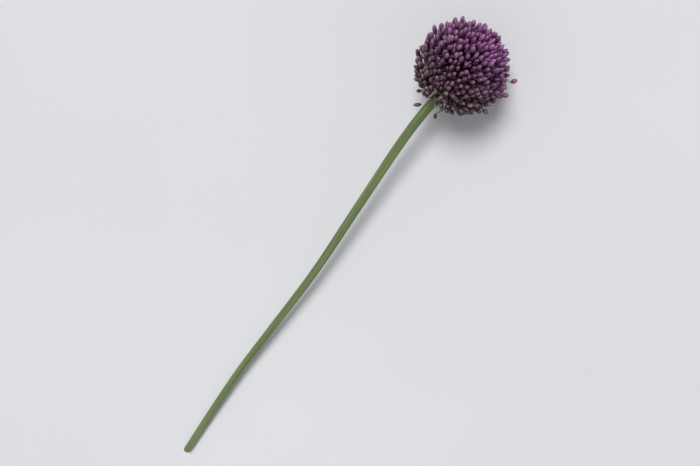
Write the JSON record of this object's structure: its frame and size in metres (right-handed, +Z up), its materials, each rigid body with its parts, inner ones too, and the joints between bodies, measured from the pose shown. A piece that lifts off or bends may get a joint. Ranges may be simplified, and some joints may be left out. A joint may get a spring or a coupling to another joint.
{
  "type": "allium flower head on a stem",
  "caption": "Cut ornamental onion flower lying on its side: a round head of closed purple buds on thin radiating stalks, on a long slender slightly bowed green stem.",
  "frame": {"origin": "on the surface that the flower lies on, under the middle of its outline seen from above", "axes": "+Y from the cut end of the stem towards the flower head, +Z up from the surface, +X to the right of the head seen from above with the head at the top"},
  "size_m": [0.1002, 0.6978, 0.0916],
  "materials": {
    "stem": "waxy fresh green plant stem, faintly ribbed, satin",
    "florets": "soft matt to satin purple petals, paler at the tips, on greenish purple stalks"
  },
  "bodies": {
    "root": {"stem": "stem", "floret_cluster_01": "florets", "floret_cluster_02": "florets", "floret_cluster_03": "florets", "floret_cluster_04": "florets", "floret_cluster_05": "florets", "floret_cluster_06": "florets", "floret_cluster_07": "florets", "floret_cluster_08": "florets", "floret_cluster_09": "florets", "floret_cluster_10": "florets", "floret_cluster_11": "florets", "floret_cluster_12": "florets", "floret_cluster_13": "florets", "floret_cluster_14": "florets", "floret_cluster_15": "florets", "floret_cluster_16": "florets", "floret_cluster_17": "florets", "floret_cluster_18": "florets", "floret_cluster_19": "florets", "floret_cluster_20": "florets", "floret_cluster_21": "florets", "floret_cluster_22": "florets", "floret_cluster_23": "florets", "floret_cluster_24": "florets", "floret_cluster_25": "florets", "floret_cluster_26": "florets", "floret_cluster_27": "florets", "floret_cluster_28": "florets", "floret_cluster_29": "florets", "floret_cluster_30": "florets", "floret_cluster_31": "florets", "floret_cluster_32": "florets", "floret_cluster_33": "florets", "floret_cluster_34": "florets", "floret_cluster_35": "florets", "floret_cluster_36": "florets", "floret_cluster_37": "florets", "floret_cluster_38": "florets", "floret_cluster_39": "florets", "floret_cluster_40": "florets", "floret_cluster_41": "florets", "single_floret_01": "florets", "single_floret_02": "florets", "single_floret_03": "florets", "single_floret_04": "florets", "single_floret_05": "florets", "single_floret_06": "florets", "single_floret_07": "florets"}
  },
  "joints": []
}
